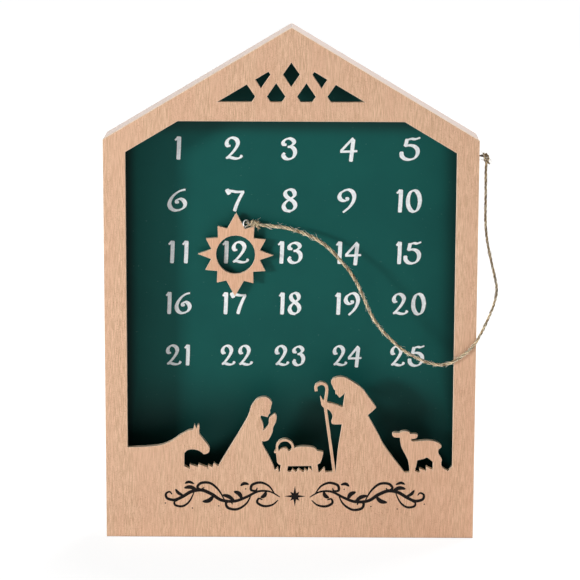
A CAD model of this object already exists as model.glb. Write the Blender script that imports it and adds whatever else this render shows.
# %% [markdown]
# # A countdown calendar in a house-shaped box
#
# The real thing is a shallow wooden box with the outline of a house. A thin cut-out board is its
# front, a green steel sheet with the numbers 1 to 25 hangs behind the window, and a wooden star on
# two magnets frames the number of the day. A length of jute twine ties the star to the box.
#
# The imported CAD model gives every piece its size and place. This script dresses it: it keeps the
# plain sheets, rebuilds what is round or soft, and gives each surface its material. Everything is
# in metres, with +Z up and the front facing -Y.

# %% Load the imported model
import math
import random

import bpy
import numpy as np
from mathutils import Matrix, Vector


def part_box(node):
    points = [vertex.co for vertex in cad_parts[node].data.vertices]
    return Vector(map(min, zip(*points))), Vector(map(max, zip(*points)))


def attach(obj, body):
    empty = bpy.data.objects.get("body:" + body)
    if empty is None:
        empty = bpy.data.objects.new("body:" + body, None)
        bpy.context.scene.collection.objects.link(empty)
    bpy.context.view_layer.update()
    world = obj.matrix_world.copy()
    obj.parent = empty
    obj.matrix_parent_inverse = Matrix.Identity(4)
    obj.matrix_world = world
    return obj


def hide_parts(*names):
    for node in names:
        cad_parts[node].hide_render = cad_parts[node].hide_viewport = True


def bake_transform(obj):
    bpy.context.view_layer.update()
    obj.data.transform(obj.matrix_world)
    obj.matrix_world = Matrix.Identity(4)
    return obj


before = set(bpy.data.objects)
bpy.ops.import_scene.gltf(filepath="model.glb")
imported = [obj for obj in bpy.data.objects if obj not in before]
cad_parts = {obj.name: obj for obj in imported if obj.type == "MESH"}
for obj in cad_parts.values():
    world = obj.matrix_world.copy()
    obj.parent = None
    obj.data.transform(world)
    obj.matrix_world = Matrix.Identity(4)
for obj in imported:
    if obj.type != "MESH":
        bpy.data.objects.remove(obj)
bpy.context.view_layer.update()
MM = 0.001

# %% [markdown]
# ## The camera
# A picture of a product is taken from far away with a long lens, so that upright edges stay
# parallel. The lens, the height and the three angles below are the ones that put the
# corners of the case where the picture has them.

# %% Place the camera
camera_place = Vector((5.74, -1523.3, 451.97)) * MM
look_down = math.radians(11.274)
look_left = math.radians(0.232)
camera_roll = math.radians(0.212)
lens_length = 161.77

forward = Vector(
    (
        -math.sin(look_left) * math.cos(look_down),
        math.cos(look_left) * math.cos(look_down),
        -math.sin(look_down),
    )
)
level_right = Vector((math.cos(look_left), math.sin(look_left), 0))
level_up = level_right.cross(forward)
camera_right = level_right * math.cos(camera_roll) + level_up * math.sin(camera_roll)
camera_up = level_up * math.cos(camera_roll) - level_right * math.sin(camera_roll)
camera_turn = Matrix((camera_right, camera_up, -forward)).transposed()

bpy.ops.object.camera_add(location=camera_place, rotation=camera_turn.to_euler())
camera = bpy.context.active_object
camera.name = "front_camera"
camera.data.sensor_width = 36
camera.data.lens = lens_length
camera.data.clip_end = 50
bpy.context.scene.camera = camera
print("Camera stands", round(-camera_place.y, 3), "m in front of the case")

# %% [markdown]
# ## Helpers for materials
# A material is a small network of nodes. These helpers add a node, set its values and join it to
# others, so that each finish below reads as a short recipe. Colours are written as they look on a
# screen, from 0 to 255, and are turned into the linear values that Blender mixes.


# %% Colours and nodes
def screen_colour(red, green, blue):
    """A linear RGBA colour from a screen colour, by the curve that all screens follow"""

    def linear(value):
        share = value / 255
        return share / 12.92 if share <= 0.04045 else ((share + 0.055) / 1.055) ** 2.4

    return (linear(red), linear(green), linear(blue), 1)


def put(tree, kind, values=None, **settings):
    """Adds a node. A value is a number, a colour or another node's output."""
    node = tree.nodes.new(kind)
    for name, setting in settings.items():
        setattr(node, name, setting)
    for name, value in (values or {}).items():
        if isinstance(value, bpy.types.NodeSocket):
            tree.links.new(value, node.inputs[name])
        else:
            node.inputs[name].default_value = value
    return node


# A Mix node has sockets for several kinds of value. These are its places for colours.
mix_share, mix_first, mix_second, mix_result = 0, 6, 7, 2


def blend_colours(tree, share, first, second, mode="MIX"):
    """Mixes two colours, where share 1 is all second"""
    values = {mix_share: share, mix_first: first, mix_second: second}
    mix = put(tree, "ShaderNodeMix", values, data_type="RGBA", blend_type=mode)
    return mix.outputs[mix_result]


def arithmetic(tree, operation, first, second):
    """One sum of two numbers"""
    return put(tree, "ShaderNodeMath", {0: first, 1: second}, operation=operation).outputs[0]


def stretched_noise(tree, vector, per_metre, detail, roughness):
    """Noise whose grains are as long as 1 / per_metre in each direction"""
    mapped = put(tree, "ShaderNodeMapping", {"Vector": vector, "Scale": per_metre})
    values = {"Vector": mapped.outputs[0], "Scale": 1.0, "Detail": detail, "Roughness": roughness}
    return put(tree, "ShaderNodeTexNoise", values).outputs["Fac"]


def ramp(tree, value, low, high):
    """0 at low, 1 at high, and a smooth rise between them. High may be the smaller number."""
    values = {"Value": value, "From Min": low, "From Max": high}
    return put(tree, "ShaderNodeMapRange", values, interpolation_type="SMOOTHSTEP").outputs[0]


print("White paper is", [round(part, 3) for part in screen_colour(250, 250, 248)[:3]], "in light")

# %% [markdown]
# A group is a recipe that several materials share, each with its own values. Wood, paint and metal
# are made that way here, so one more helper builds a material round a group. What is the same all
# over a surface, such as how metallic it is, is set on the shader and not sent through nodes. The
# patterns read Object coordinates, which are the metres of the model itself.


# %% Groups and materials
def new_group(name, inputs, outputs):
    """An empty shader group with named sockets, and its two end nodes"""
    group = bpy.data.node_groups.new(name, "ShaderNodeTree")
    for label, kind, value in inputs:
        socket = group.interface.new_socket(label, in_out="INPUT", socket_type="NodeSocket" + kind)
        if value is not None:
            socket.default_value = value
    for label, kind in outputs:
        group.interface.new_socket(label, in_out="OUTPUT", socket_type="NodeSocket" + kind)
    return group, group.nodes.new("NodeGroupInput").outputs, group.nodes.new("NodeGroupOutput")


def new_material(name, **values):
    """A material with one Principled BSDF, whose plain values are set on the shader itself"""
    material = bpy.data.materials.new(name)
    material.use_nodes = True
    shader = material.node_tree.nodes["Principled BSDF"]
    for label, value in values.items():
        shader.inputs[label.replace("_", " ")].default_value = value
    return material, material.node_tree, shader


def object_vector(tree, turn=(0, 0, 0)):
    """Object coordinates, turned so that a board's grain runs along +Z"""
    place = put(tree, "ShaderNodeTexCoord").outputs["Object"]
    return put(tree, "ShaderNodeMapping", {"Vector": place, "Rotation": turn}).outputs[0]


def relief(tree, shader, height, depth):
    """A bump whose depth is in metres"""
    values = {"Height": height, "Strength": 1.0, "Distance": depth}
    tree.links.new(put(tree, "ShaderNodeBump", values).outputs[0], shader.inputs["Normal"])


def finish_from_group(name, group, values, depth, turn=(0, 0, 0), **plain_values):
    """A material whose colour, relief and sometimes roughness come from a group"""
    material, tree, shader = new_material(name, **plain_values)
    given_values = {"Vector": object_vector(tree, turn)}
    for label, value in values.items():
        given_values[label] = screen_colour(*value) if isinstance(value, tuple) else value
    made = put(tree, "ShaderNodeGroup", given_values, node_tree=group).outputs
    tree.links.new(made["Color"], shader.inputs["Base Color"])
    if "Roughness" in made:
        tree.links.new(made["Roughness"], shader.inputs["Roughness"])
    relief(tree, shader, made["Height"], depth)
    return material


# %% [markdown]
# ## Wood
# Six finishes here are wood: the faces of the front board and the star, their sanded cut edges, the
# worn lower edge of the front board, and the paler boards of the case with their sawn ends. All
# show the same things at different strengths. There is a fine grain of thin upright lines, there
# are broad bands that are a little pinker or yellower, and there are short dark pores that gather
# in patches. One group makes all of that, and each wood gives it its own colours.

# %% Wood grain group
grain_group, given, grain_end = new_group(
    "Wood grain",
    [
        ("Vector", "Vector", None),
        ("Light", "Color", (1, 1, 1, 1)),
        ("Dark", "Color", (0.5, 0.5, 0.5, 1)),
        ("Band", "Color", (0.5, 0.5, 0.5, 1)),
        ("Pore", "Color", (0.2, 0.2, 0.2, 1)),
        ("Pore Amount", "Float", 0.5),
    ],
    [("Color", "Color"), ("Height", "Float")],
)
tree = grain_group
grain_lines_per_metre = 3300
line_scale = (grain_lines_per_metre, grain_lines_per_metre, 150)
line_grain = stretched_noise(tree, given["Vector"], line_scale, detail=1, roughness=0.5)
broad_band = stretched_noise(tree, given["Vector"], (110, 110, 7), detail=2, roughness=0.5)
pore_dash = stretched_noise(tree, given["Vector"], (3200, 3200, 1300), detail=1, roughness=0.5)
pore_patch = stretched_noise(tree, given["Vector"], (48, 48, 24), detail=2, roughness=0.5)

grained = blend_colours(tree, ramp(tree, line_grain, 0.34, 0.66), given["Dark"], given["Light"])
band_share = arithmetic(tree, "MULTIPLY", ramp(tree, broad_band, 0.4, 0.64), 0.35)
banded = blend_colours(tree, band_share, grained, given["Band"])
pore_edge = arithmetic(tree, "MULTIPLY", ramp(tree, pore_dash, 0.55, 0.68), given["Pore Amount"])
pore_share = arithmetic(tree, "MULTIPLY", pore_edge, ramp(tree, pore_patch, 0.1, 0.75))
pored = blend_colours(tree, pore_share, banded, given["Pore"])
line_height = arithmetic(tree, "MULTIPLY", line_grain, 0.4)
wood_height = arithmetic(tree, "SUBTRACT", line_height, pore_share)
tree.links.new(pored, grain_end.inputs["Color"])
tree.links.new(wood_height, grain_end.inputs["Height"])
line_width_mm = round(1 / MM / grain_lines_per_metre, 2)
print("Grain lines are", line_width_mm, "mm wide, and the group has", len(tree.nodes), "nodes")

# %% [markdown]
# Each wood has four colours: its light and dark lines, its bands and its pores. A board's grain
# runs along its own length, so the pattern is turned to follow the two slopes of the roof and the
# level bottom board, and is seen from its end on a sawn end.

# %% Wood finishes
roof_rise_mm = 65.5
roof_run_mm = 110
roof_angle = math.atan2(roof_rise_mm, roof_run_mm)
along_left_roof = (0, roof_angle - math.pi / 2, 0)
along_right_roof = (0, math.pi / 2 - roof_angle, 0)
level_grain = (0, math.pi / 2, 0)
seen_from_its_end = (math.pi / 2, 0, 0)


def wood(name, colours, pores, turn=(0, 0, 0), depth=0.06 * MM):
    """A wood finish whose grain runs along +Z, or along the direction that turn brings there"""
    values = dict(zip(("Light", "Dark", "Band", "Pore"), colours))
    values["Pore Amount"] = pores
    shine = {"Roughness": 0.62, "Specular_IOR_Level": 0.3}
    return finish_from_group(name, grain_group, values, depth, turn, **shine)


face_colours = ((234, 194, 162), (204, 163, 131), (222, 175, 145), (164, 110, 82))
panel_face = wood("panel face", face_colours, pores=0.55, depth=0.04 * MM)
star_colours = ((234, 189, 156), (213, 166, 132), (226, 172, 142), (168, 114, 86))
star_face = wood("star face", star_colours, pores=0.15, depth=0.03 * MM)
edge_colours = ((244, 222, 198), (234, 208, 180), (238, 212, 184), (206, 170, 138))
cut_edge = wood("sanded cut edge", edge_colours, pores=0.4, turn=level_grain)
foot_colours = ((176, 140, 114), (128, 96, 76), (150, 116, 92), (84, 60, 48))
worn_foot = wood("worn foot edge", foot_colours, pores=0.9, turn=level_grain)
limed_colours = ((238, 222, 213), (228, 209, 199), (234, 214, 201), (200, 170, 152))
limed_upright = wood("limed board upright", limed_colours, pores=0.5)
limed_left = wood("limed board left slope", limed_colours, pores=0.5, turn=along_left_roof)
limed_right = wood("limed board right slope", limed_colours, pores=0.5, turn=along_right_roof)
limed_level = wood("limed board level", limed_colours, pores=0.5, turn=level_grain)
end_colours = ((214, 190, 164), (196, 168, 140), (206, 178, 148), (160, 124, 96))
end_grain = wood("limed end grain", end_colours, pores=0.9, turn=seen_from_its_end)
print("The roof slopes at", round(math.degrees(roof_angle), 1), "degrees")

# %% [markdown]
# A wide sheet isn't one tone all over. The front board is a little browner towards its lower right
# corner. So a pale brown film is laid over the finished colour, by how far right and how low a
# point lies.


# %% Brown the front board's corner
def tint(material, share_at, colour, mode="MIX"):
    """Mixes a colour into a finish, by the share that share_at works out from the place"""
    tree = material.node_tree
    base = tree.nodes["Principled BSDF"].inputs["Base Color"]
    place = put(tree, "ShaderNodeSeparateXYZ", {0: object_vector(tree)}).outputs
    share = share_at(tree, place)
    plain = base.links[0].from_socket
    tree.links.new(blend_colours(tree, share, plain, screen_colour(*colour), mode), base)


def corner_share(tree, place):
    """1 in the lower right corner, and 0 left of the middle or above half the height"""
    to_right = ramp(tree, place["X"], 0.0, 0.1)
    to_foot = ramp(tree, place["Z"], 0.17, 0.05)
    return arithmetic(tree, "MULTIPLY", to_right, to_foot)


brown_film = (249, 244, 242)
tint(panel_face, corner_share, brown_film, "MULTIPLY")
print("The panel's finish now has", len(panel_face.node_tree.nodes), "nodes")

# %% [markdown]
# ## Paint
# The number board is sprayed with green enamel, and the numbers are printed on it in white. The
# ornament on the front is dark stain, and so is the inside of the case. Sprayed and printed colour
# is never quite even: it has cloudy patches, a faint orange-peel skin, and here and there a speck
# of dust. One group gives the four finishes their variation.

# %% Paint film group
paint_group, given, paint_end = new_group(
    "Paint film",
    [
        ("Vector", "Vector", None),
        ("Main", "Color", (0.1, 0.3, 0.3, 1)),
        ("Cloud", "Color", (0.1, 0.2, 0.2, 1)),
        ("Speck", "Color", (0.6, 0.6, 0.6, 1)),
        ("Speck Amount", "Float", 0.3),
        ("Cloud Fineness", "Float", 1.0),
    ],
    [("Color", "Color"), ("Height", "Float")],
)
tree = paint_group
scale_values = {0: given["Vector"], "Scale": given["Cloud Fineness"]}
scaled = put(tree, "ShaderNodeVectorMath", scale_values, operation="SCALE").outputs[0]
clouds_per_metre = 28
cloud = stretched_noise(tree, scaled, (clouds_per_metre,) * 3, detail=3, roughness=0.5)
peel = stretched_noise(tree, given["Vector"], (900, 900, 900), detail=1, roughness=0.4)
specks = stretched_noise(tree, given["Vector"], (620, 620, 620), detail=0, roughness=0.5)
clouded = blend_colours(tree, ramp(tree, cloud, 0.3, 0.7), given["Main"], given["Cloud"])
speck_share = arithmetic(tree, "MULTIPLY", ramp(tree, specks, 0.8, 0.84), given["Speck Amount"])
specked = blend_colours(tree, speck_share, clouded, given["Speck"])
tree.links.new(specked, paint_end.inputs["Color"])
tree.links.new(peel, paint_end.inputs["Height"])
print("The paint film's clouds are", round(1 / MM / clouds_per_metre), "mm wide")


# %% [markdown]
# A paint has a main colour, the colour of its clouds and that of its specks. The enamel has the
# faintest specks. The printed white was brushed on thinly, so its clouds are much finer. The two
# stains are dull, because wood soaks them up.


# %% Paint finishes
def paint(name, colours, specks, roughness, depth, fineness=1.0):
    """A painted finish from its main, cloud and speck colours, with the depth of its skin"""
    values = dict(zip(("Main", "Cloud", "Speck"), colours))
    values["Speck Amount"] = specks
    values["Cloud Fineness"] = fineness
    shine = {"Roughness": roughness, "Specular_IOR_Level": 0.12}
    return finish_from_group(name, paint_group, values, depth, **shine)


enamel_colours = ((11, 81, 75), (8, 76, 71), (110, 150, 140))
enamel = paint("green enamel", enamel_colours, specks=0.15, roughness=0.5, depth=0.012 * MM)
white_colours = ((248, 249, 249), (226, 232, 234), (190, 206, 204))
print_white = paint(
    "brushed white", white_colours, specks=0.5, roughness=0.6, depth=0.01 * MM, fineness=24.0
)
inside_colours = ((36, 34, 31), (28, 27, 25), (70, 60, 50))
inside_stain = paint("inside stain", inside_colours, specks=0.4, roughness=0.8, depth=0.02 * MM)
stain_colours = ((9, 6, 5), (16, 11, 9), (60, 44, 34))
dark_stain = paint("dark stain", stain_colours, specks=0.5, roughness=0.7, depth=0.02 * MM)
print("Paint finishes:", enamel.name, print_white.name, inside_stain.name, dark_stain.name)

# %% [markdown]
# The board looks darker in a rim along the frame and above the ground than the frame's shadow
# alone would make it. So the enamel darkens there. The rim is widest above the ground.

# %% Darken the enamel's rim
rims = [
    ("X", -0.0905, -0.0985, 0.85),
    ("X", 0.087, 0.1, 0.62),
    ("Z", 0.2375, 0.247, 0.55),
    ("Z", 0.1, 0.058, 0.5),
]


def rim_share(tree, place):
    """How dark the enamel is, from the side of the rim that darkens it most"""
    share = 0.0
    for axis, begins, ends, strength in rims:
        side = arithmetic(tree, "MULTIPLY", ramp(tree, place[axis], begins, ends), strength)
        share = arithmetic(tree, "MAXIMUM", share, side)
    return share


tint(enamel, rim_share, (4, 14, 13))
print("The enamel darkens along", len(rims), "sides")

# %% [markdown]
# ## Metal
# The two screw eyes, the magnets and the brads are small, so what shows is how bright they are and
# that they are not perfectly clean. A group mixes the bare metal with a duller, darker tarnish in
# fine patches, and makes the tarnish rougher.

# %% Worn metal group
metal_group, given, metal_end = new_group(
    "Worn metal",
    [
        ("Vector", "Vector", None),
        ("Bare", "Color", (0.6, 0.6, 0.6, 1)),
        ("Tarnish", "Color", (0.2, 0.2, 0.2, 1)),
        ("Polish", "Float", 0.3),
    ],
    [("Color", "Color"), ("Roughness", "Float"), ("Height", "Float")],
)
tree = metal_group
patches = stretched_noise(tree, given["Vector"], (700, 700, 700), detail=4, roughness=0.6)
scratches = stretched_noise(tree, given["Vector"], (4000, 4000, 500), detail=2, roughness=0.5)
tarnish = ramp(tree, patches, 0.42, 0.68)
rougher = arithmetic(tree, "MULTIPLY", tarnish, 0.25)
tarnished = blend_colours(tree, tarnish, given["Bare"], given["Tarnish"])
worn_roughness = arithmetic(tree, "ADD", given["Polish"], rougher)
tree.links.new(tarnished, metal_end.inputs["Color"])
tree.links.new(worn_roughness, metal_end.inputs["Roughness"])
tree.links.new(scratches, metal_end.inputs["Height"])
print("Worn metal mixes", len(given) - 1, "values")

# %% [markdown]
# The magnets and the star's eye are nickel plated, so they are bright and nearly even. The eye in
# the case is of darkened steel, and the brads are plain drawn wire.

# %% Metal finishes
scratch_depth = 0.008 * MM


def metal(name, bare, tarnish, polish):
    """A bare metal, where polish is the roughness of its cleanest places"""
    values = {"Bare": bare, "Tarnish": tarnish, "Polish": polish}
    return finish_from_group(name, metal_group, values, scratch_depth, Metallic=1.0)


nickel = metal("nickel plate", (232, 232, 232), (196, 196, 194), polish=0.38)
dark_steel = metal("darkened steel", (92, 84, 76), (58, 50, 44), polish=0.32)
bright_steel = metal("drawn steel", (190, 192, 194), (130, 128, 124), polish=0.3)
print("Metal finishes:", nickel.name, dark_steel.name, bright_steel.name)

# %% [markdown]
# ## Jute and hardboard
# Jute is a coarse plant fibre. Each strand of the twine is itself a bundle of fibres, so it shows
# thin light and dark streaks that run along it and wind round it. The streaks follow the strand's
# own UV map. Dirt and shade sit in the grooves between the strands, and the loose hairs are paler,
# because light shines through them. Two attributes on the mesh tell the material how deep in a
# groove or how dirty a point is, and whether it is on a hair.

# %% Jute
jute, tree, shader = new_material("raw jute", Roughness=0.85, Specular_IOR_Level=0.2)
strand_map = put(tree, "ShaderNodeTexCoord").outputs["UV"]
streaks = stretched_noise(tree, strand_map, (7, 260, 1), detail=3, roughness=0.6)
patches = stretched_noise(tree, object_vector(tree), (260, 260, 260), detail=2, roughness=0.5)
dark_fibre = screen_colour(172, 132, 86)
light_fibre = screen_colour(255, 242, 204)
fibres = blend_colours(tree, ramp(tree, streaks, 0.32, 0.66), dark_fibre, light_fibre)
patch_share = arithmetic(tree, "MULTIPLY", ramp(tree, patches, 0.45, 0.66), 0.5)
fibres = blend_colours(tree, patch_share, fibres, screen_colour(240, 208, 166))
for mark, colour in (("groove", (62, 42, 30)), ("hair", (255, 248, 232))):
    mark_share = put(tree, "ShaderNodeAttribute", attribute_name=mark).outputs["Fac"]
    fibres = blend_colours(tree, mark_share, fibres, screen_colour(*colour))
tree.links.new(fibres, shader.inputs["Base Color"])
relief(tree, shader, streaks, 0.2 * MM)
print("Jute's finish has", len(tree.nodes), "nodes")

# %% [markdown]
# The back is hardboard, which is pressed wood pulp: brown, matt and finely mottled, with a few wide
# patches that are darker.

# %% Hardboard
hardboard, tree, shader = new_material("brown hardboard", Roughness=0.85)
pulp = stretched_noise(tree, object_vector(tree), (900, 900, 900), detail=4, roughness=0.7)
blotch = stretched_noise(tree, object_vector(tree), (30, 30, 30), detail=3, roughness=0.5)
dark_pulp = screen_colour(112, 80, 52)
light_pulp = screen_colour(150, 112, 78)
pulp_colour = blend_colours(tree, ramp(tree, pulp, 0.3, 0.7), dark_pulp, light_pulp)
blotch_share = arithmetic(tree, "MULTIPLY", ramp(tree, blotch, 0.4, 0.7), 0.35)
board_colour = blend_colours(tree, blotch_share, pulp_colour, screen_colour(120, 84, 54))
tree.links.new(board_colour, shader.inputs["Base Color"])
relief(tree, shader, pulp, 0.08 * MM)
print("Hardboard's finish has", len(tree.nodes), "nodes")

# %% [markdown]
# ## Helpers for shapes
# Operators act on whatever is selected, and loading the model leaves its nodes selected. So each
# step first selects exactly one object. A finished piece keeps its place in its mesh, with its
# object at the origin.


# %% Select, edit and finish
def select_only(piece):
    """Leaves one object selected and active"""
    if bpy.context.object and bpy.context.object.mode != "OBJECT":
        bpy.ops.object.mode_set(mode="OBJECT")
    bpy.ops.object.select_all(action="DESELECT")
    piece.select_set(True)
    bpy.context.view_layer.objects.active = piece


def edit_all(piece):
    """Opens a piece in edit mode with its whole mesh selected"""
    select_only(piece)
    bpy.ops.object.mode_set(mode="EDIT")
    bpy.ops.mesh.select_all(action="SELECT")


def apply_modifiers(piece):
    """Makes the result of every modifier the piece's own mesh"""
    select_only(piece)
    for modifier in list(piece.modifiers):
        bpy.ops.object.modifier_apply(modifier=modifier.name)


def settle(piece):
    """Moves a piece's place, turn and size into its mesh"""
    select_only(piece)
    bpy.ops.object.transform_apply(location=True, rotation=True, scale=True)


def new_piece(name, mesh):
    """An object for a mesh or a curve, in the scene and at the origin"""
    piece = bpy.data.objects.new(name, mesh)
    bpy.context.scene.collection.objects.link(piece)
    return piece


def finish_piece(piece, body, slot, *nodes):
    """Hands a finished piece to the frame"""
    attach(piece, body)
    if nodes:
        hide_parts(*nodes)
    print(piece.name, "has", len(piece.data.polygons), "faces and rides on", body)


# %% [markdown]
# A CAD node is a mesh of loose triangles with perfectly sharp edges. To ease its edges, a copy of
# it is joined up, its flat faces are made whole, and a narrow bevel goes round. The bevel isn't
# clamped, because one tiny edge in the cut-out would then hold back the rounds everywhere.


# %% Copy and ease a CAD node
def clean_copy(node, name, materials):
    """A copy of a CAD node with its loose triangles joined and its flat faces made whole"""
    piece = new_piece(name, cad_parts[node].data.copy())
    piece.data.name = name
    piece.data.materials.clear()
    for material in materials:
        piece.data.materials.append(material)
    edit_all(piece)
    bpy.ops.mesh.remove_doubles(threshold=0.01 * MM)
    bpy.ops.mesh.customdata_custom_splitnormals_clear()
    bpy.ops.mesh.dissolve_limited(angle_limit=math.radians(0.4))
    bpy.ops.object.mode_set(mode="OBJECT")
    return piece


def round_edges(piece, width, segments=2):
    """Takes every sharp edge off by a small round, and shades the rest smooth"""
    bevel = piece.modifiers.new("round", "BEVEL")
    bevel.width = width
    bevel.segments = segments
    bevel.limit_method = "ANGLE"
    bevel.angle_limit = math.radians(30)
    bevel.use_clamp_overlap = False
    apply_modifiers(piece)
    bpy.ops.object.shade_smooth_by_angle(angle=math.radians(42))
    flatten = piece.modifiers.new("flat faces stay flat", "WEIGHTED_NORMAL")
    flatten.keep_sharp = True
    apply_modifiers(piece)


def paint_faces(piece, wanted, slot_number):
    """Gives the faces that are wanted another of the piece's materials, and counts them"""
    count = 0
    for face in piece.data.polygons:
        if wanted(face):
            face.material_index = slot_number
            count += 1
    return count


print("The model has", len(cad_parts), "CAD nodes to dress or replace")

# %% [markdown]
# ## The twine
# Household jute twine is three strands laid round each other. A plain tube would read as a wire,
# so each strand gets its own thin tube that winds round the route, and short loose hairs stand off
# it. One strand is browner than the other two, which makes the twist show from a distance. The
# route is the CAD model's: from the star's knot it sags across the board, rests near the right
# stile, goes round the corner and hangs from the eye in the side.

# %% The twine's route
twine_route_mm = [
    (-20.1, 6.8, 187.2), (-16.5, 6.5, 186.3), (-6, 5, 185.5), (3, 3, 183.8), (13.8, 0.5, 179.8),
    (22.6, -2, 174.1), (28.8, -4, 167.8), (34.8, -6.2, 161.2), (39.3, -8, 154.1),
    (43.6, -9.8, 145.1), (47.9, -11.6, 135.8), (53.2, -13.2, 128.1), (59.4, -14.6, 121.7),
    (66.4, -15.8, 115.8), (74.2, -16.7, 111.4), (81.3, -17.2, 108.4), (88.9, -17.5, 107),
    (95.8, -17.6, 108.6), (102, -17.6, 112.8), (108.2, -17.5, 118.6), (112.5, -16.6, 125.6),
    (116.7, -13.4, 133.6), (120.5, -9.4, 142), (122.3, -5.7, 150), (120.9, -2.8, 158.6),
    (118.5, -1, 168.8), (116.4, -0.1, 179.2), (115.3, 0, 190), (115.1, 0, 206.8), (115, 0, 216),
    (115, 0, 223.7),
]
twine_diameter = 2.2 * MM
steps_between_points = 16


def smooth_line(points_mm, spacing):
    """Evenly spaced points on one smooth curve through the given points, and how far along"""
    given_points = [np.array(point, float) * MM for point in points_mm]
    first = 2 * given_points[0] - given_points[1]
    last = 2 * given_points[-1] - given_points[-2]
    given_points = [first, *given_points, last]
    dense = []
    for a, b, c, d in zip(given_points, given_points[1:], given_points[2:], given_points[3:]):
        t1 = np.linalg.norm(b - a) ** 0.5
        t2 = t1 + np.linalg.norm(c - b) ** 0.5
        t3 = t2 + np.linalg.norm(d - c) ** 0.5
        for t in np.linspace(t1, t2, steps_between_points, endpoint=False):
            ab = a + (b - a) * t / t1
            bc = b + (c - b) * (t - t1) / (t2 - t1)
            cd = c + (d - c) * (t - t2) / (t3 - t2)
            abc = ab + (bc - ab) * t / t2
            bcd = bc + (cd - bc) * (t - t1) / (t3 - t1)
            dense.append(abc + (bcd - abc) * (t - t1) / (t2 - t1))
    dense.append(given_points[-2])
    dense = np.array(dense)
    along = np.concatenate([[0], np.cumsum(np.linalg.norm(np.diff(dense, axis=0), axis=1))])
    count = round(along[-1] / spacing)
    stations = np.linspace(0, along[-1], count + 1)
    line = np.stack([np.interp(stations, along, dense[:, axis]) for axis in range(3)], axis=1)
    return line, stations


twine_line, twine_stations = smooth_line(twine_route_mm, spacing=0.5 * MM)

# %% [markdown]
# A tube is a row of rings, and each ring needs two directions square to the line. They are carried
# along from ring to ring, so that the tube doesn't twist by itself.


# %% Directions along a line
def carried_axes(line):
    """The line's own direction at each point, and two directions square to it"""
    tangents = np.gradient(line, axis=0)
    tangents /= np.linalg.norm(tangents, axis=1)[:, None]
    level = abs(tangents[0][1]) < 0.9
    side = np.array([0.0, 1.0, 0.0]) if level else np.array([1.0, 0.0, 0.0])
    sides = []
    for tangent in tangents:
        side = side - tangent * side.dot(tangent)
        side = side / np.linalg.norm(side)
        sides.append(side)
    sides = np.array(sides)
    return tangents, sides, np.cross(tangents, sides)


twine_ways, _, _ = carried_axes(twine_line)
print("The twine leaves the star towards", [round(float(part), 2) for part in twine_ways[0]])

# %% [markdown]
# All tubes of a piece go into one mesh. With each point goes how deep in a groove it lies, whether
# it is on a hair, and how far along the twine it is. A spline with a round bevel would draw a
# tube too, but it couldn't carry these marks.


# %% A mesh of tubes
class StrandMesh:
    """Collects tubes that share one mesh, with a UV map, two marks and a place along the twine"""

    groove_reach = 0.45

    def __init__(self):
        self.points, self.faces, self.corners = [], [], []
        self.hair, self.groove, self.along = [], [], []

    def tube(self, centres, sides, crosses, radii, stations, count):
        """Adds a closed tube with so many points in a ring"""
        first = len(self.points)
        last = len(centres) - 1
        for i, centre in enumerate(centres):
            for j in range(count):
                angle = 2 * math.pi * j / count
                offset = sides[i] * math.cos(angle) + crosses[i] * math.sin(angle)
                self.points.append(centre + offset * radii[i])
                self.along.append(stations[i])
        for i in range(last):
            for j in range(count):
                k = (j + 1) % count
                row, above = first + i * count, first + (i + 1) * count
                self.faces.append((row + j, row + k, above + k, above + j))
        top = first + last * count
        self.faces.append(tuple(first + j for j in reversed(range(count))))
        self.faces.append(tuple(top + j for j in range(count)))

    def map_tube(self, stations, count, turns=0.0):
        """Lays the UV map of the last tube: once round its girth, in metres along its length"""
        for low, high in zip(stations, stations[1:]):
            for j in range(count):
                left, right = j / count, (j + 1) / count
                self.corners += [
                    (left + low * turns, low), (right + low * turns, low),
                    (right + high * turns, high), (left + high * turns, high),
                ]
        self.corners += [(0, stations[0])] * count + [(0, stations[-1])] * count

    def mark_groove(self, centres, middle, sides, crosses, count, dirt):
        """Marks how far each point of the last tube faces the middle of the twine"""
        for i, centre in enumerate(centres):
            to_middle = middle[i] - centre
            to_middle = to_middle / max(np.linalg.norm(to_middle), 1e-9)
            for j in range(count):
                angle = 2 * math.pi * j / count
                offset = sides[i] * math.cos(angle) + crosses[i] * math.sin(angle)
                deep = max(0.0, offset.dot(to_middle) + self.groove_reach)
                self.groove.append(min(deep / (1 + self.groove_reach) + dirt, 1.0))
        self.hair += [0.0] * (len(centres) * count)

    def mark_hair(self, count):
        """Marks each point of the last tube as a hair, and as deep as the side of a strand"""
        share = self.groove_reach / (1 + self.groove_reach)
        self.groove += [share] * count
        self.hair += [1.0] * count

    def piece(self, name):
        """The finished mesh in an object"""
        mesh = bpy.data.meshes.new(name)
        mesh.from_pydata([tuple(point) for point in self.points], [], self.faces)
        layer = mesh.uv_layers.new(name="strand")
        layer.data.foreach_set("uv", np.array(self.corners, np.float32).ravel())
        for label, values in (("hair", self.hair), ("groove", self.groove)):
            mark = mesh.attributes.new(label, "FLOAT", "POINT")
            mark.data.foreach_set("value", np.array(values, np.float32))
        mesh.shade_smooth()
        mesh.materials.append(jute)
        return new_piece(name, mesh)


# %% [markdown]
# A strand is about half as thick as the twine and winds round the line once in 9.5 mm. It swells
# and thins a little along its length, as hand-laid fibre does, in a long wave and a short one.

# %% Strands
strands = 3
strand_pitch = 9.5 * MM
strand_dirt = (0.5, 0.0, 0.06)
strand_unevenness = 0.07
long_wave, short_wave = 3.1 * MM, 1.3 * MM
strand_sides = 9
streak_turns_per_metre = 240.0


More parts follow.
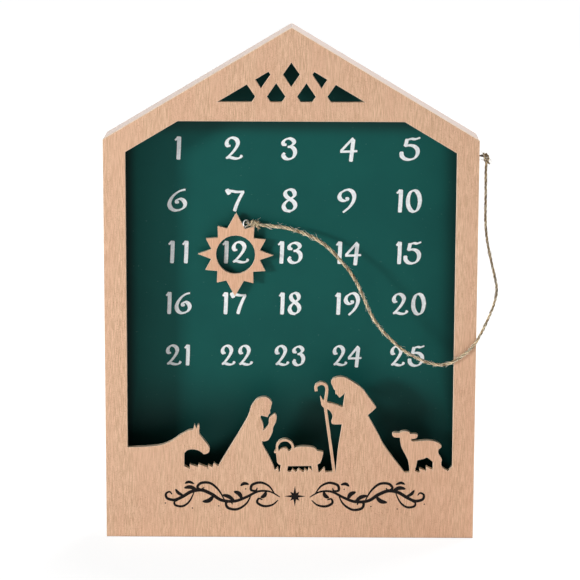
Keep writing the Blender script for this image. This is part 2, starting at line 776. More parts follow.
def lay_strands(mesh, line, stations, diameters, seed):
    """Winds the strands round a line. Each strand is a little thicker in some places."""
    _, sides, crosses = carried_axes(line)
    dice = random.Random(seed)
    for k in range(strands):
        phases = 2 * math.pi * (stations / strand_pitch + k / strands)
        wave = dice.uniform(0, 2 * math.pi)
        long_swell = np.sin(stations / long_wave + wave)
        short_swell = np.sin(stations / short_wave + 2 * wave)
        radii = diameters / 4 * (1 + strand_unevenness * (long_swell + short_swell))
        orbit = (diameters / 2 - radii)[:, None]
        around = sides * np.cos(phases)[:, None] + crosses * np.sin(phases)[:, None]
        centres = line + orbit * around
        mesh.tube(centres, sides, crosses, radii, stations, strand_sides)
        mesh.map_tube(stations, strand_sides, streak_turns_per_metre)
        mesh.mark_groove(centres, line, sides, crosses, strand_sides, strand_dirt[k])


# %% [markdown]
# Most loose hairs are short. They leave the twine at a slant and curl, and none may go through the
# board. A hair is a tube with three sides, which is enough for something so thin.

# %% Hairs
hair_stops = (0.0, 0.35, 0.7, 1.0)
hair_radii = np.array([0.085, 0.08, 0.07, 0.035]) * MM
hair_sides = 3
shortest_share = 0.22
hair_root_share = 0.4
board_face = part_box("number_board")[0].y
hair_clearance = 0.2 * MM


def grow_hairs(mesh, line, stations, diameter, count, longest, highest, seed):
    """Loose hairs, most of them short, that leave the twine at a slant and stay off the board"""
    dice = random.Random(seed)
    tangents, sides, crosses = carried_axes(line)
    for _ in range(count):
        i = dice.randrange(2, len(line) - 2)
        angle = dice.uniform(0, 2 * math.pi)
        out = sides[i] * math.cos(angle) + crosses[i] * math.sin(angle)
        round_way = np.cross(tangents[i], out)
        run = tangents[i] * dice.choice((-1, 1)) + round_way * dice.uniform(-0.3, 0.3)
        length = longest * (shortest_share + (1 - shortest_share) * dice.random() ** 3)
        lift = dice.uniform(0.15, 0.55) * (0.5 + 0.5 * dice.random())
        curl = dice.uniform(-0.2, 0.2)
        centres = []
        for share in hair_stops:
            rise = min(length * lift * share**1.2, highest)
            step = length * share
            centre = line[i] + out * (diameter * hair_root_share + rise)
            centre += run * step * 0.8 + round_way * step * curl * share
            centre[1] = min(centre[1], board_face - hair_clearance)
            centres.append(centre)
        stops = len(hair_stops)
        hair_stations = [stations[i]] * stops
        axes = [sides[i]] * stops, [crosses[i]] * stops
        mesh.tube(centres, *axes, hair_radii, hair_stations, hair_sides)
        mesh.map_tube(hair_stations, hair_sides)
        mesh.mark_hair(stops * hair_sides)


print("Hairs stay in front of y =", round((board_face - hair_clearance) / MM, 2), "mm")

# %% [markdown]
# So after that call every ring of the tube is given one value of its own, by how far along the
# twine it lies. The twine is thickest at the star and thinnest where it hangs.

# %% Lay the twine
twine_mesh = StrandMesh()
thinning_at = np.array([50, 100, 160, 190]) * MM
thinning_to = np.array([2.1, 1.85, 1.85, 1.6]) * MM
twine_diameters = np.interp(twine_stations, thinning_at, thinning_to)
lay_strands(twine_mesh, twine_line, twine_stations, twine_diameters, seed=3)
grow_hairs(
    twine_mesh, twine_line, twine_stations, diameter=twine_diameter * 0.9,
    count=900, longest=4.4 * MM, highest=1.5 * MM, seed=12,
)
twine = twine_mesh.piece("jute_twine")
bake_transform(twine)


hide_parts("twine")
print("The twine has", len(twine.data.polygons), "faces")

# %% [markdown]
# ## The knots
# At each end the twine goes through the ring of a small screw eye and is knotted on itself. A knot
# is the same three strands on a tighter route: through the ring, back along the twine, twice round
# it, and out as a short tail. It is drawn a little thinner than the free twine, because a pulled
# knot packs its strands. So each point of a route has a fourth number, the thickness there.

# %% The knots' routes
points_in_a_turn = 9


def coil(start, end, radii, turns, first_angle, slant, thickness):
    """Route points that wind from start to end, slanted as a pulled hitch is"""
    start, end = Vector(start), Vector(end)
    way = (end - start).normalized()
    side = way.cross(Vector((0, 1, 0))).normalized()
    cross = way.cross(side)
    count = int(points_in_a_turn * turns)
    points = []
    for step in range(count + 1):
        share = step / count
        angle = first_angle + 2 * math.pi * turns * share
        radius = radii[0] + (radii[1] - radii[0]) * share
        place = start.lerp(end, share) + way * (slant * math.cos(angle))
        place += side * (radius * math.cos(angle)) + cross * (radius * math.sin(angle))
        points.append((*place, thickness))
    return points


star_knot_route_mm = [
    (-20.1, 6.8, 187.2, 1.9), (-22.2, 7.2, 187.4, 1.6), (-23.8, 8.2, 187.6, 1.1),
    (-24.6, 9.1, 187.7, 0.95), (-25.4, 9.5, 187.8, 0.9), (-26.2, 9.2, 187.8, 0.9),
    (-26.5, 8.4, 187.6, 0.9), (-26.1, 7.6, 187.3, 0.9), (-25.3, 7.0, 186.9, 1.0),
    (-24.7, 6.2, 186.4, 1.2),
    *coil(
        (-23.9, 7.0, 187.5), (-19.6, 6.7, 187.0),
        radii=(1.5, 1.3), turns=2.8, first_angle=-2.2, slant=0.55, thickness=1.6,
    ),
    (-19.4, 6.0, 185.2, 1.6), (-19.0, 5.6, 184.2, 1.5),
]
eye_knot_route_mm = [
    (115.0, 0.0, 223.7, 1.6), (115.0, 0.1, 225.8, 1.5), (114.6, 0.3, 228.2, 1.3),
    (113.9, 0.2, 229.8, 1.2), (113.3, -1.2, 231.0, 1.2), (113.2, -2.9, 230.8, 1.2),
    (113.6, -3.6, 229.4, 1.2), (114.2, -2.4, 228.4, 1.2), (114.7, -0.6, 228.9, 1.2),
    (114.8, 0.0, 230.2, 1.2), (114.9, -1.6, 231.0, 1.2), (115.4, -3.0, 230.2, 1.2),
    (116.1, -2.6, 228.7, 1.3),
    *coil(
        (115.3, -0.1, 228.0), (115.1, 0, 226.0),
        radii=(1.1, 0.95), turns=1.7, first_angle=0.6, slant=0.4, thickness=1.3,
    ),
    (116.2, -1.2, 225.6, 1.2), (117.1, -1.1, 224.9, 1.1),
]
print("The knots' routes have", len(star_knot_route_mm), "and", len(eye_knot_route_mm), "points")

# %% [markdown]
# A knot is tied by the twine's own helpers, so its strands and hairs are like the twine's. Its
# hairs are longer, because the short end frays. Each knot rides on the body of its screw eye.


# %% Tie the knots
def tie_knot(name, route, body, node, seed):
    """A knot that rides on one body and stands for a CAD knot"""
    line, stations = smooth_line([point[:3] for point in route], spacing=0.35 * MM)
    lengths = [Vector(b[:3]) - Vector(a[:3]) for a, b in zip(route, route[1:])]
    reached = np.concatenate([[0], np.cumsum([step.length for step in lengths])])
    reached *= stations[-1] / reached[-1]
    diameters = np.interp(stations, reached, [point[3] for point in route]) * MM
    mesh = StrandMesh()
    lay_strands(mesh, line, stations, diameters, seed)
    grow_hairs(
        mesh, line, stations, diameter=1.5 * MM,
        count=90, longest=6 * MM, highest=3 * MM, seed=seed,
    )
    piece = mesh.piece(name)
    finish_piece(piece, body, "jute", node)
    return piece


star_knot = tie_knot("star_twine_knot", star_knot_route_mm, "marker", "star_knot", seed=5)
eye_knot = tie_knot("eye_twine_knot", eye_knot_route_mm, "case", "eye_knot", seed=7)

# %% [markdown]
# ## The screw eyes
# A screw eye is one bent wire: a straight shank that is driven into the wood, then a ring that
# nearly closes on the shank. A curve with a round bevel draws exactly that. It is then made a mesh.


# %% Bend the screw eyes
def bent_wire(name, points, radius, material):
    """A round wire along points, closed at both ends"""
    curve = bpy.data.curves.new(name, "CURVE")
    curve.dimensions = "3D"
    curve.bevel_depth = radius
    curve.bevel_resolution = 4
    curve.use_fill_caps = True
    spline = curve.splines.new("POLY")
    spline.points.add(len(points) - 1)
    for point, place in zip(spline.points, points):
        point.co = (*place, 1)
    select_only(new_piece(name, curve))
    bpy.ops.object.convert(target="MESH")
    piece = bpy.context.active_object
    edit_all(piece)
    bpy.ops.mesh.remove_doubles(threshold=0.001 * MM)
    bpy.ops.mesh.normals_make_consistent(inside=False)
    bpy.ops.object.mode_set(mode="OBJECT")
    piece.data.materials.clear()
    piece.data.materials.append(material)
    bpy.ops.object.shade_smooth_by_angle(angle=math.radians(50))
    return piece


ring_sweep_degrees = 332
ring_steps = 40


def eye_points(ring_radius, bite, stand_off, turn, place):
    """The wire's line, from sizes in mm: up the shank along +Z, round the ring, and then placed"""
    points = [Vector((0, 0, -bite)), Vector((0, 0, 0)), Vector((0, 0, stand_off * 0.5))]
    for step in range(ring_steps + 1):
        angle = -math.pi / 2 + math.radians(ring_sweep_degrees) * step / ring_steps
        across, up = math.cos(angle) * ring_radius, math.sin(angle) * ring_radius
        points.append(Vector((across, 0, stand_off + ring_radius + up)))
    return [place + turn @ (point * MM) for point in points]


print("A screw eye's ring goes", ring_sweep_degrees, "degrees round")

# %% [markdown]
# The star's eye leans with the notch that it stands in, and its ring is turned so far that it
# shows as an oval. The case's eye points out of the side, with its ring upright. Once both are
# there, the twine can be declared as a cord, with the knots and eyes that are on it.

lean_of_notch = Matrix.Rotation(math.radians(10.5), 3, "Y")
ring_turned = Matrix.Rotation(math.radians(42), 3, "Z")
notch_place = Vector((-27.486, 7, 184.157)) * MM
marker_eye_points = eye_points(
    ring_radius=2, bite=2.6, stand_off=1.25, turn=lean_of_notch @ ring_turned, place=notch_place
)
marker_eye = bent_wire("star_screw_eye", marker_eye_points, radius=0.4 * MM, material=nickel)
finish_piece(marker_eye, "marker", "nickel", "marker_eye")

out_of_side = Matrix.Rotation(math.pi / 2, 3, "Y") @ Matrix.Rotation(math.pi / 2, 3, "Z")
side_place = Vector((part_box("right_side")[1].x, 0, 229.6 * MM))
case_eye_points = eye_points(
    ring_radius=2.2, bite=7, stand_off=1.8, turn=out_of_side, place=side_place
)
case_eye = bent_wire("side_screw_eye", case_eye_points, radius=0.55 * MM, material=dark_steel)
finish_piece(case_eye, "case", "dark_steel", "screw_eye")

# %% [markdown]
# ## The front board
# The front is one thin board, cut through by a laser. The CAD model has its whole outline, with
# the window, the lattice and the figures. What it lacks is the hand feel of wood: every edge is
# perfectly sharp. So a cleaned copy gets a very small round on each edge, and the cut sides get the
# pale colour of freshly sanded wood. The lower edge that it stands on is worn darker. The star is
# cut from the same kind of board, so it is dressed in the same way.

# %% Dress the front board and the star
edge_round = 0.15 * MM
flat_on = 0.97
looks_down = -0.3
cut_slot, worn_slot = 1, 2


def is_cut(face):
    """A face that doesn't look straight forwards or back was cut by the laser"""
    return abs(face.normal.y) < flat_on


def is_worn(face):
    """The edge that the front board stands on"""
    return face.center.z < edge_round and face.normal.z < looks_down


front_board = clean_copy("front_panel", "cut_front_board", [panel_face, cut_edge, worn_foot])
round_edges(front_board, edge_round)
print("Cut edges of the front board:", paint_faces(front_board, is_cut, cut_slot), "faces")
print("Worn edge of the front board:", paint_faces(front_board, is_worn, worn_slot), "faces")
finish_piece(front_board, "case", "panel_wood", "front_panel")

star = clean_copy("star_marker", "wooden_star", [star_face, cut_edge])
round_edges(star, edge_round)
paint_faces(star, is_cut, cut_slot)
finish_piece(star, "marker", "panel_wood", "star_marker")

# %% [markdown]
# ## The case boards
# Five boards stand behind the front: two sides, two roof boards and the bottom. Each keeps its CAD
# shape with eased edges, its grain runs along its own length, and its sawn ends show end grain.
# The face that looks into the case is stained dark.

# %% Dress the case boards
left_slope = Vector((math.cos(roof_angle), 0, math.sin(roof_angle)))
right_slope = Vector((-math.cos(roof_angle), 0, math.sin(roof_angle)))
case_boards = [
    ("left_side", limed_upright, Vector((0, 0, 1)), Vector((1, 0, 0))),
    ("right_side", limed_upright, Vector((0, 0, 1)), Vector((-1, 0, 0))),
    ("left_roof", limed_left, left_slope, Vector((left_slope.z, 0, -left_slope.x))),
    ("right_roof", limed_right, right_slope, Vector((-right_slope.z, 0, right_slope.x))),
    ("bottom_board", limed_level, Vector((1, 0, 0)), Vector((0, 0, 1))),
]
end_slot, inside_slot = 1, 2
along_enough, inward_enough = 0.6, 0.95
for node, limed, length_way, inward in case_boards:
    board = clean_copy(node, "eased_" + node, [limed, end_grain, inside_stain])
    round_edges(board, width=0.35 * MM)
    paint_faces(board, lambda face: abs(face.normal.dot(length_way)) > along_enough, end_slot)
    paint_faces(board, lambda face: face.normal.dot(inward) > inward_enough, inside_slot)
    finish_piece(board, "case", "frame_wood", node)

# %% [markdown]
# ## The number board, the back and its brads
# The steel sheet and the hardboard keep their CAD shape, because a flat sheet is already right, and
# only get their finish.

# %% Finish the sheets
for node, material in (("number_board", enamel), ("back_board", hardboard)):
    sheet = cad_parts[node]
    for slot in sheet.material_slots:
        slot.material = material
    print(node, "is finished with", material.name)

# %% [markdown]
# A brad's head is a small dome on a thin shank. It is modelled once, as a short cylinder whose
# inner face is inset and drawn out into the shank, and its rim is rounded.

# %% Model one brad
head_radius = 1.1 * MM
head_height = 0.6 * MM
shank_radius = 0.5 * MM
shank_length = 11 * MM
into_wood = -0.9
bpy.ops.object.select_all(action="DESELECT")
bpy.ops.mesh.primitive_cylinder_add(
    vertices=20, radius=head_radius, depth=head_height,
    location=(0, head_height / 2, 0), rotation=(math.pi / 2, 0, 0),
)
first_brad = bpy.context.active_object
first_brad.name = "first_brad"
settle(first_brad)
bpy.ops.object.mode_set(mode="EDIT")
bpy.ops.mesh.select_mode(type="FACE")
bpy.ops.mesh.select_all(action="DESELECT")
bpy.ops.object.mode_set(mode="OBJECT")
for face in first_brad.data.polygons:
    face.select = face.normal.y < into_wood
bpy.ops.object.mode_set(mode="EDIT")
bpy.ops.mesh.inset(thickness=head_radius - shank_radius)
bpy.ops.mesh.extrude_region_move(TRANSFORM_OT_translate={"value": (0, -shank_length, 0)})
bpy.ops.object.mode_set(mode="OBJECT")
round_edges(first_brad, width=0.16 * MM, segments=3)
first_brad.data.materials.append(bright_steel)
print("A brad has", len(first_brad.data.polygons), "faces")

# %% [markdown]
# Each of the ten brads is a copy with its own mesh, at the place that the CAD model gives it. The
# two magnets are plated discs behind the star, whose edges only need easing.

# %% Drive the brads and plate the magnets
back_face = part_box("back_board")[1].y
for number in range(1, 11):
    node = f"back_brad_{number}"
    low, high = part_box(node)
    brad = new_piece(f"domed_brad_{number}", first_brad.data.copy())
    brad.location = ((low.x + high.x) / 2, back_face, (low.z + high.z) / 2)
    settle(brad)
    finish_piece(brad, "case", "bright_steel", node)
bpy.data.objects.remove(first_brad)

for node in ("marker_magnet_top", "marker_magnet_bottom"):
    magnet = clean_copy(node, "plated_" + node, [nickel])
    round_edges(magnet, width=0.2 * MM)
    finish_piece(magnet, "marker", "nickel", node)

# %% [markdown]
# ## The numbers
# The numbers look written with a broad pen: a stroke is thick where the pen moves across its edge
# and thin where it moves along it. Each figure is a few lines, in shares of its height. A ribbon
# follows each line, and its width is set by the pen's angle, so one rule shapes all the figures.

# %% The broad pen
pen_long_share = 0.094
pen_short_share = 0.038
pen_angle = math.radians(24)
steps_in_a_line = 7


def pen_width(way, share):
    """Half a stroke's width, as a share of the figure's height. Only the way counts for a pen."""
    angle = math.atan2(way[1], way[0]) - pen_angle
    return math.hypot(pen_long_share * math.sin(angle), pen_short_share * math.cos(angle))


def smooth_flat(points):
    """A smooth line through flat points, by the usual cubic between each two of them"""
    last = len(points) - 1
    line = []
    for i in range(last):
        near = (max(i - 1, 0), i, i + 1, min(i + 2, last))
        a, b, c, d = (np.array(points[k]) for k in near)
        for step in range(steps_in_a_line):
            t = step / steps_in_a_line
            square = (2 * a - 5 * b + 4 * c - d) * t**2
            cube = (3 * b - a - 3 * c + d) * t**3
            line.append(0.5 * (2 * b + (c - a) * t + square + cube))
    line.append(np.array(points[-1], float))
    return line


print("The pen writes lines", pen_short_share * 2, "to", pen_long_share * 2, "of a figure's height")

# %% [markdown]
# A stroke is a row of point pairs, left and right of its line, with two narrower pairs past each
# end that round it. Strokes cross each other, so each one lies on a layer of its own, a hair in
# front of the last.

# %% Strokes
end_shares = ((0.3, 0.86), (0.5, 0.5))


def ribbon(points, half_width):
    """The left and right edge of a stroke, and its middle line"""
    line = smooth_flat(points)
    last = len(line) - 1
    rows = []
    for i, point in enumerate(line):
        way = line[min(i + 1, last)] - line[max(i - 1, 0)]
        way = way / np.linalg.norm(way)
        across = np.array([-way[1], way[0]]) * half_width(way, i / last)
        rows.append((point + across, point - across))
    return rows, line


def round_end(rows, line, end, inner):
    """Two narrower rows past a stroke's end, each from how far out and how wide it is"""
    out = line[end] - line[inner]
    out = out / np.linalg.norm(out)
    half = np.linalg.norm(rows[end][0] - rows[end][1]) / 2
    caps = []
    for reach, width in end_shares:
        middle = line[end] + out * half * reach
        caps.append(tuple(middle + (edge - line[end]) * width for edge in rows[end]))
    return caps


def add_stroke(points, faces, stroke, place, height, layer, half_width):
    """Adds one stroke to a mesh that stands upright at the depth layer"""
    rows, line = ribbon(stroke, half_width)
    rows = [*reversed(round_end(rows, line, 0, 1)), *rows, *round_end(rows, line, -1, -2)]
    first = len(points)
    for pair in rows:
        for point in pair:
            points.append((place[0] + point[0] * height, layer, place[1] + point[1] * height))
    for i in range(len(rows) - 1):
        left = first + 2 * i
        faces.append((left, left + 1, left + 3, left + 2))


print("Each end of a stroke gets", len(end_shares), "narrower rows")

# %% [markdown]
# Flat strokes have no thickness. Once all their faces look forwards, a Solidify modifier gives
# them that of a film of paint, towards the surface behind.


# %% Films of paint
def flat_piece(name, points, faces, depth, material):
    """A thin raised film from flat faces, with its thickness towards +Y"""
    mesh = bpy.data.meshes.new(name)
    mesh.from_pydata(points, [], faces)
    mesh.materials.append(material)
    piece = new_piece(name, mesh)
    edit_all(piece)
    bpy.ops.mesh.normals_make_consistent(inside=False)
    bpy.ops.object.mode_set(mode="OBJECT")
    for face in mesh.polygons:
        if face.normal.y > 0:
            face.flip()
    thick = piece.modifiers.new("film", "SOLIDIFY")
    thick.thickness = depth
    thick.offset = -1
    apply_modifiers(piece)
    return piece


# %% [markdown]
# A figure's lines are given from left to right and from the foot up, where 1 is its full height.

# %% The figures 0 to 9
figure_shares = {
    "0": [
        [(0.59, 0.5), (0.55, 0.74), (0.45, 0.91), (0.32, 0.96), (0.19, 0.9), (0.1, 0.72),
         (0.07, 0.5), (0.1, 0.27), (0.2, 0.09)],
        [(0.2, 0.09), (0.33, 0.04), (0.46, 0.1), (0.55, 0.27), (0.59, 0.5)],
    ],
    "1": [[(0.0, 0.85), (0.06, 0.9), (0.12, 0.97)], [(0.16, 0.96), (0.145, 0.5), (0.12, 0.04)]],
    "2": [
        [(0.2, 0.61), (0.11, 0.61), (0.06, 0.71), (0.1, 0.84), (0.21, 0.94), (0.35, 0.95),
         (0.48, 0.88), (0.54, 0.75), (0.5, 0.59), (0.37, 0.39), (0.21, 0.21), (0.05, 0.07)],
        [(0.06, 0.07), (0.2, 0.1), (0.4, 0.06), (0.54, 0.06), (0.64, 0.1), (0.7, 0.18)],
    ],
    "3": [
        [(0.17, 0.66), (0.08, 0.68), (0.06, 0.78), (0.16, 0.89), (0.32, 0.93), (0.47, 0.87),
         (0.52, 0.76), (0.44, 0.65), (0.28, 0.56)],
        [(0.27, 0.57), (0.42, 0.56), (0.54, 0.45), (0.56, 0.28), (0.47, 0.11), (0.3, 0.04),
         (0.14, 0.08), (0.06, 0.2), (0.1, 0.29)],
    ],
    "4": [
        [(0.55, 0.95), (0.29, 0.67), (0.05, 0.41)],
        [(0.03, 0.37), (0.4, 0.38), (0.72, 0.4)],
        [(0.57, 0.88), (0.52, 0.42), (0.47, -0.02)],
    ],
    "5": [
        [(0.31, 0.9), (0.48, 0.94), (0.66, 0.93), (0.84, 0.99)],
        [(0.29, 0.9), (0.26, 0.77), (0.22, 0.64)],
        [(0.22, 0.62), (0.4, 0.66), (0.6, 0.62), (0.74, 0.48), (0.74, 0.28), (0.62, 0.11),
         (0.42, 0.04), (0.22, 0.07), (0.08, 0.19), (0.06, 0.34)],
    ],
    "6": [
        [(0.77, 0.96), (0.55, 0.9), (0.34, 0.76), (0.17, 0.56), (0.09, 0.34), (0.15, 0.15),
         (0.33, 0.05), (0.54, 0.07)],
        [(0.5, 0.06), (0.68, 0.15), (0.77, 0.32), (0.7, 0.48), (0.55, 0.55), (0.42, 0.49),
         (0.42, 0.39)],
    ],
    "7": [
        [(0.05, 0.95), (0.08, 0.88), (0.13, 0.8)],
        [(0.06, 0.92), (0.25, 0.9), (0.45, 0.87), (0.62, 0.87), (0.76, 0.88)],
        [(0.73, 0.86), (0.59, 0.6), (0.46, 0.32), (0.37, 0.05)],
    ],
    "8": [
        [(0.55, 0.82), (0.47, 0.94), (0.32, 0.98), (0.18, 0.91), (0.14, 0.78), (0.22, 0.65),
         (0.38, 0.54), (0.53, 0.41), (0.57, 0.25), (0.48, 0.1), (0.32, 0.03)],
        [(0.34, 0.03), (0.16, 0.08), (0.07, 0.22), (0.12, 0.38), (0.26, 0.51), (0.42, 0.61),
         (0.53, 0.72), (0.54, 0.85)],
    ],
    "9": [
        [(0.4, 0.62), (0.38, 0.53), (0.25, 0.5), (0.11, 0.56), (0.06, 0.7), (0.14, 0.86),
         (0.3, 0.95)],
        [(0.26, 0.95), (0.46, 0.98), (0.63, 0.88), (0.7, 0.68), (0.64, 0.44), (0.47, 0.2),
         (0.23, 0.0)],
    ],
}
print("Figures:", len(figure_shares), "with", sum(map(len, figure_shares.values())), "strokes")

# %% [markdown]
# The numbers stand in five rows of five. The real print isn't quite regular: a few pairs stand
# closer or wider, and some numbers sit a little off their column. Those are listed by number, in
# shares of the height or in millimetres.

# %% Write the numbers
column_places_mm = [-67.3, -33.0, -0.4, 34.1, 70.4]
row_places_mm = [231.8, 200.5, 169.0, 137.8, 105.8]
row_heights_mm = [13.8, 13.8, 13.6, 13.4, 12.8]
nudges_mm = {
    "2": -1.2, "3": -0.9, "6": -0.6, "7": -0.6, "8": -0.6, "9": -0.9, "14": 0.4, "17": -0.9,
    "20": 0.6, "21": -0.6, "22": 0.6,
}
usual_gap_share = 0.13
gap_shares = {"11": 0.33, "15": 0.07, "17": 0.08, "24": 0.02}
usual_pair_share = 0.86
width_shares = {
    "10": 1.0, "11": 1.0, "12": 0.98, "13": 0.99, "14": 0.95, "20": 0.93, "21": 0.93,
    **{str(single): 1.0 for single in range(1, 10)},
}
film_depth = 0.05 * MM
layer_step = 0.006 * MM


def move_points(points, first, sideways, up=0.0):
    """Moves the points from first on"""
    points[first:] = [(x + sideways, y, z + up) for x, y, z in points[first:]]


def write_label(points, faces, label, height):
    """Writes a label's figures side by side from x = 0, and returns its width"""
    width_share = width_shares.get(label, usual_pair_share)
    gap = gap_shares.get(label, usual_gap_share) * height
    reach = 0.0
    for character in label:
        start = len(points)
        for number, stroke in enumerate(figure_shares[character]):
            narrowed = [(x * width_share, z) for x, z in stroke]
            layer = board_face - film_depth - number * layer_step
            add_stroke(points, faces, narrowed, (0, 0), height, layer, pen_width)
        move_points(points, start, reach - min(point[0] for point in points[start:]))
        reach = max(point[0] for point in points[start:]) + gap
    return reach - gap


points, faces = [], []
for index in range(len(row_places_mm) * len(column_places_mm)):
    label = str(index + 1)
    row, column = divmod(index, len(column_places_mm))
    height = row_heights_mm[row] * MM
    first = len(points)
    width = write_label(points, faces, label, height)
    middle = (column_places_mm[column] + nudges_mm.get(label, 0)) * MM
    move_points(points, first, middle - width / 2, row_places_mm[row] * MM - height / 2)
numbers = flat_piece("brushed_numbers", points, faces, film_depth * 0.8, print_white)
finish_piece(numbers, "case", "green_enamel")

# %% [markdown]
# ## The ornament
# The foot of the front carries a dark ornament. Here it is a plain scroll of vines round a small
# star. One half is drawn, and the other is its mirror image. Each stroke is its points, in
# millimetres from the middle, and its widest width. The small star's outline goes from a long
# tip to a notch, a short tip and a notch, four times round.

# %% The ornament's strokes
vine_strokes = [
    ([(9, -0.5), (15, 2.8), (22, 2.9), (29, -0.6), (36, -3.2), (44, -2.6), (50, 1.2), (56, 3.6),
      (62, 2.6), (67, -0.4), (72, -2.6), (76.5, -1.6), (77.2, 1.2), (75, 2.4), (73.6, 0.9)], 0.95),
    ([(12, 1.2), (15.5, 6.2), (20.5, 8.4), (25.5, 7.0), (26.2, 3.8), (23.4, 3.4),
      (22.6, 5.2)], 0.75),
    ([(26, 1.2), (29, -4.6), (34.5, -8.2), (40, -7.4), (41.2, -4.2), (38.4, -3.4),
      (37.4, -5.2)], 0.75),
    ([(42, -2.9), (45.5, 3.4), (50.5, 7.8), (56, 8.0), (58.4, 5.4), (56.2, 3.9),
      (54.4, 5.3)], 0.75),
    ([(60, 3.2), (63, -3.2), (67, -6.4), (71.4, -6.0), (72.2, -3.8), (70.2, -3.0)], 0.65),
    ([(10, -2.4), (13.5, -5.4), (18.5, -6.2), (22.4, -4.2), (21.8, -1.6), (19.4, -2.2)], 0.7),
]
leaf_strokes = [
    ([(17.2, 3.0), (18.2, 0.4), (20.6, -1.0)], 1.1),
    ([(31.6, -1.9), (33.4, 1.4), (36.6, 2.8)], 1.2),
    ([(36.0, -3.2), (39.6, -0.4), (43.6, 0.6)], 1.1),
    ([(48.6, 0.2), (51.4, -2.8), (55.4, -3.6)], 1.2),
    ([(58.4, 3.4), (62.4, 5.4), (66.4, 4.8)], 1.1),
    ([(66.4, 0.0), (69.6, 1.6), (71.6, 4.2)], 0.9),
    ([(27.4, 7.2), (30.4, 7.8), (32.6, 6.2)], 0.9),
    ([(60.2, 7.4), (63.4, 8.6), (66.0, 7.6)], 0.8),
]
dot_places = [(29.5, 4.4), (45.6, -6.2), (61.4, -7.6), (77.6, -4.6)]
dot_radius = 0.42 * MM
dot_sides = 8
star_radii = [6.4 * MM, 2.1 * MM, 3.9 * MM, 2.1 * MM] * 4
print("Strokes in one half:", len(vine_strokes), "vines and", len(leaf_strokes), "leaves")

# %% [markdown]
# The strokes are the same ribbons as those of the numbers, but their width swells in the middle
# and dies away at the ends, as a brush draws them. The film of stain is very thin.

# %% Paint the ornament
ornament_centre = Vector((3.0, 25.5)) * MM
brush_weight = 2.2
vine_blunt_share = 0.25
leaf_blunt_share = 0.05
swell_power = 0.7
stain_depth = 0.04 * MM
stain_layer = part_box("front_panel")[0].y - stain_depth
stroke_step = layer_step * 0.3
dot_radii = [dot_radius] * dot_sides


def swelling(widest, blunt_share):
    """A stroke width that dies away at both ends, to a blunt share of the widest"""
    swell_share = 1 - blunt_share
    return lambda way, share: widest / 2 * (
        blunt_share + swell_share * math.sin(math.pi * share) ** swell_power
    )


def flat_ring(middle, radii, turned=0.0):
    """Points round a middle on the panel, whose distances go through the radii in turn"""
    ring = []
    for k, radius in enumerate(radii):
        angle = 2 * math.pi * k / len(radii) + turned
        x = middle[0] + radius * math.cos(angle)
        z = middle[1] + radius * math.sin(angle)
        ring.append((x, stain_layer, z))
    return ring


points, faces = [], []
strokes = [(*stroke, vine_blunt_share) for stroke in vine_strokes]
strokes += [(*stroke, leaf_blunt_share) for stroke in leaf_strokes]
for side in (-1, 1):
    for number, (stroke, widest, blunt_share) in enumerate(strokes, start=1):
        mirrored = [(x * side, z) for x, z in stroke]
        width_rule = swelling(widest * brush_weight, blunt_share)
        layer = stain_layer - number * stroke_step
        add_stroke(points, faces, mirrored, ornament_centre, MM, layer, width_rule)
    for x, z in dot_places:
        first = len(points)
        points += flat_ring(ornament_centre + Vector((x * side, z)) * MM, dot_radii)
        faces.append(tuple(range(first, first + dot_sides)))

first = len(points)
points += flat_ring(ornament_centre, star_radii, turned=math.pi / 2)
points.append((ornament_centre.x, stain_layer, ornament_centre.y))
corners = len(star_radii)
faces += [(first + k, first + (k + 1) % corners, first + corners) for k in range(corners)]
ornament = flat_piece("scroll_ornament", points, faces, stain_depth * 0.8, dark_stain)
finish_piece(ornament, "case", "panel_wood")

# %% [markdown]
# ## Floor and light
# The floor and the room are so bright in the picture that they read as plain white. Their materials
# show that white to the camera, and to anything shiny or clear, while what they throw on the object
# stays modest. Close to the case the floor is a shade darker, and it keeps a trace of the shadow.


# %% White floor
def looked_at(tree):
    """1 where the camera looks, or where gloss or glass shows the surface, and else 0"""
    rays = put(tree, "ShaderNodeLightPath").outputs
    seen = arithmetic(tree, "MAXIMUM", rays["Is Camera Ray"], rays["Is Glossy Ray"])
    return arithmetic(tree, "MAXIMUM", seen, rays["Is Transmission Ray"])


def matt(tree, grey):
    """A plain matt surface"""
    return put(tree, "ShaderNodeBsdfDiffuse", {"Color": (grey, grey, grey, 1)}).outputs[0]


floor_back = 4
floor_drop = 0.4 * MM
bpy.ops.object.select_all(action="DESELECT")
bpy.ops.mesh.primitive_plane_add(size=24, location=(0, floor_back, -floor_drop))
floor = bpy.context.active_object
floor.name = "studio_floor"

floor_white = bpy.data.materials.new("studio white")
floor_white.use_nodes = True
tree = floor_white.node_tree
tree.nodes.clear()
floor_place = put(tree, "ShaderNodeTexCoord").outputs["Object"]
centring = {"Vector": floor_place, "Location": (0, floor_back, 0)}
from_case = put(tree, "ShaderNodeMapping", centring).outputs[0]
distance = put(tree, "ShaderNodeVectorMath", {0: from_case}, operation="LENGTH").outputs["Value"]
glow_values = {
    "Value": distance, "From Min": 0.13, "From Max": 0.24, "To Min": 0.91, "To Max": 1.0,
}
glow = put(tree, "ShaderNodeMapRange", glow_values).outputs[0]
glowing = put(tree, "ShaderNodeEmission", {"Strength": glow}).outputs[0]
shown = put(tree, "ShaderNodeAddShader", {0: glowing, 1: matt(tree, 0.22)}).outputs[0]
mixing = {0: looked_at(tree), 1: matt(tree, 0.75), 2: shown}
mixed = put(tree, "ShaderNodeMixShader", mixing).outputs[0]
put(tree, "ShaderNodeOutputMaterial", {"Surface": mixed})
floor.data.materials.append(floor_white)
print("The floor lies", floor_drop / MM, "mm under the case")

# %% [markdown]
# The room does the same: it looks white, but gives only a little light, so that the lamps below
# shape the object.

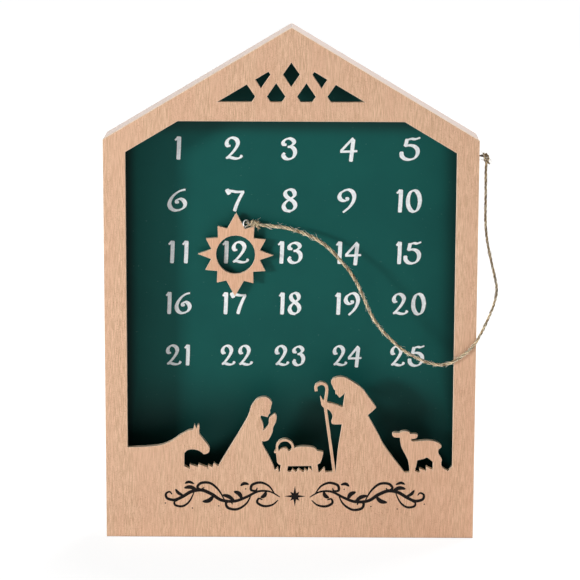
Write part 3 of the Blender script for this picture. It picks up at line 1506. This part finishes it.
# %% White room
room_light = 0.03
world = bpy.context.scene.world or bpy.data.worlds.new("studio")
bpy.context.scene.world = world
world.use_nodes = True
tree = world.node_tree
tree.nodes.clear()
strength_values = {"Value": looked_at(tree), "To Min": room_light, "To Max": 1.0}
strength = put(tree, "ShaderNodeMapRange", strength_values).outputs[0]
sky = put(tree, "ShaderNodeBackground", {"Color": (1, 1, 1, 1), "Strength": strength}).outputs[0]
put(tree, "ShaderNodeOutputWorld", {"Surface": sky})
print("The room lights the object with", room_light, "of the white that it shows")

# %% [markdown]
# The picture was lit by a soft lamp well to the left, which throws the left stile's shadow on the
# board, and by the bright white table in front, which lights everything from a little below. So the
# board is dark just above the ground, where the cut-out shades it. A broad lamp high behind, on the
# right, keeps the roof boards as pale as the picture has them.

# %% Lamps
case_middle = Vector((0, 0, 0.15))


def soft_lamp(name, azimuth, elevation, size, power, distance=1.8):
    """A square lamp aimed at the case. Azimuth counts from the front towards the right."""
    turn, rise = math.radians(azimuth), math.radians(elevation)
    level = math.cos(rise)
    way = Vector((math.sin(turn) * level, -math.cos(turn) * level, math.sin(rise)))
    aim = (-way).to_track_quat("-Z", "Y").to_euler()
    bpy.ops.object.light_add(type="AREA", location=case_middle + way * distance, rotation=aim)
    lamp = bpy.context.active_object
    lamp.name = name
    lamp.data.size = size
    lamp.data.energy = power


soft_lamp("key_lamp", azimuth=-52, elevation=9, size=0.3, power=19.5)
soft_lamp("rear_lamp", azimuth=146, elevation=60, size=0.8, power=27)

table_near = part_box("front_panel")[0].y - 0.2 * MM
table_far = -2.5
table_middle = (0, (table_near + table_far) / 2, 0.2 * MM)
facing_up = (math.pi, 0, 0)
bpy.ops.object.light_add(type="AREA", location=table_middle, rotation=facing_up)
table_glow = bpy.context.active_object
table_glow.name = "table_glow"
table_glow.visible_camera = False
table_glow.data.shape = "RECTANGLE"
table_glow.data.size = 5
table_glow.data.size_y = table_near - table_far
table_glow.data.energy = 30

# %% [markdown]
# ## The end
# A plain view transform shows colours as they were written. The two boxes are kept, so that the
# dressed model can be set against the CAD model's size, and the frame checks every piece.

# %% Keep the sizes and hand over
bpy.context.scene.view_settings.view_transform = "Standard"
